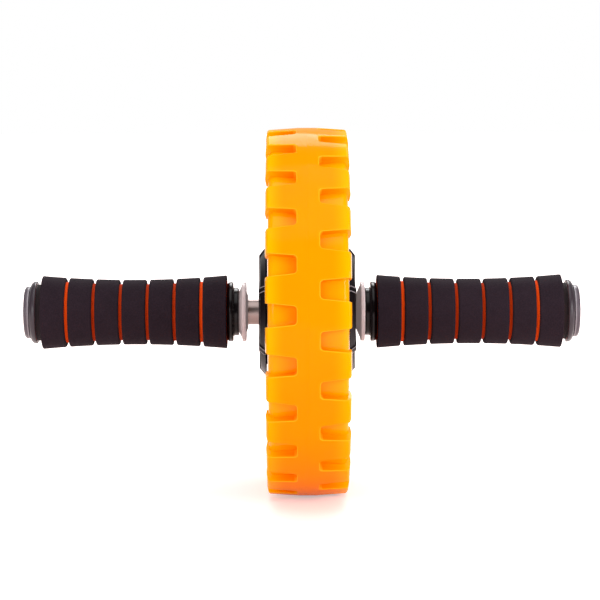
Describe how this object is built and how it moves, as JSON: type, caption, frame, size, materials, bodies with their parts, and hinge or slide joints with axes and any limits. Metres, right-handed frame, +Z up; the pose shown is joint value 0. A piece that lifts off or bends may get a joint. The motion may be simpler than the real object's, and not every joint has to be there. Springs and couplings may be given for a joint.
{
  "type": "ab wheel roller",
  "caption": "Exercise roller: a wide lugged wheel that spins and floats on a steel tube between two waisted foam grips with end caps.",
  "frame": {"origin": "middle of the axle tube, halfway between the two handles", "axes": "+X along the axle to the right handle, +Y away from the viewer, +Z up"},
  "size_m": [0.2712, 0.18, 0.18],
  "materials": {
    "tyre": "glossy moulded",
    "rim": "satin moulded",
    "cover": "glossy moulded",
    "bush": "smooth moulded",
    "tube_steel": "polished",
    "screw_steel": "plain",
    "spacer": "translucent moulded",
    "handle": "glossy moulded",
    "foam_orange": "fine-pored foam",
    "foam_black": "fine-pored foam",
    "cap": "glossy moulded"
  },
  "bodies": {
    "handlebar": {"axle_tube": "tube_steel", "right_handle_core": "handle", "right_grip_sleeve": "foam_orange", "right_end_cap": "cap", "right_grip_ring_1": "foam_black", "right_grip_ring_2": "foam_black", "right_grip_ring_3": "foam_black", "right_grip_ring_4": "foam_black", "right_grip_ring_5": "foam_black", "right_grip_ring_6": "foam_black", "right_grip_ring_7": "foam_black", "left_handle_core": "handle", "left_grip_sleeve": "foam_orange", "left_end_cap": "cap", "left_grip_ring_1": "foam_black", "left_grip_ring_2": "foam_black", "left_grip_ring_3": "foam_black", "left_grip_ring_4": "foam_black", "left_grip_ring_5": "foam_black", "left_grip_ring_6": "foam_black", "left_grip_ring_7": "foam_black"},
    "bearing": {"right_bush": "bush", "left_bush": "bush"},
    "wheel": {"tyre": "tyre", "right_rim_half": "rim", "left_rim_half": "rim", "right_hub_cover": "cover", "left_hub_cover": "cover", "rim_screws": "screw_steel"},
    "right_spacer": {"right_spacer": "spacer"},
    "left_spacer": {"left_spacer": "spacer"}
  },
  "joints": [
    {"name": "wheel_float", "type": "slide", "parent": "handlebar", "child": "bearing", "axis": [1, 0, 0], "range_m": [-0.0052, 0]},
    {"name": "wheel_spin", "type": "hinge", "parent": "bearing", "child": "wheel", "pos_m": [0.0026, 0, 0], "axis": [1, 0, 0], "continuous": true},
    {"name": "right_spacer_spin", "type": "hinge", "parent": "handlebar", "child": "right_spacer", "pos_m": [0.0264, 0, 0], "axis": [1, 0, 0], "continuous": true},
    {"name": "left_spacer_spin", "type": "hinge", "parent": "handlebar", "child": "left_spacer", "pos_m": [-0.0264, 0, 0], "axis": [1, 0, 0], "continuous": true}
  ]
}
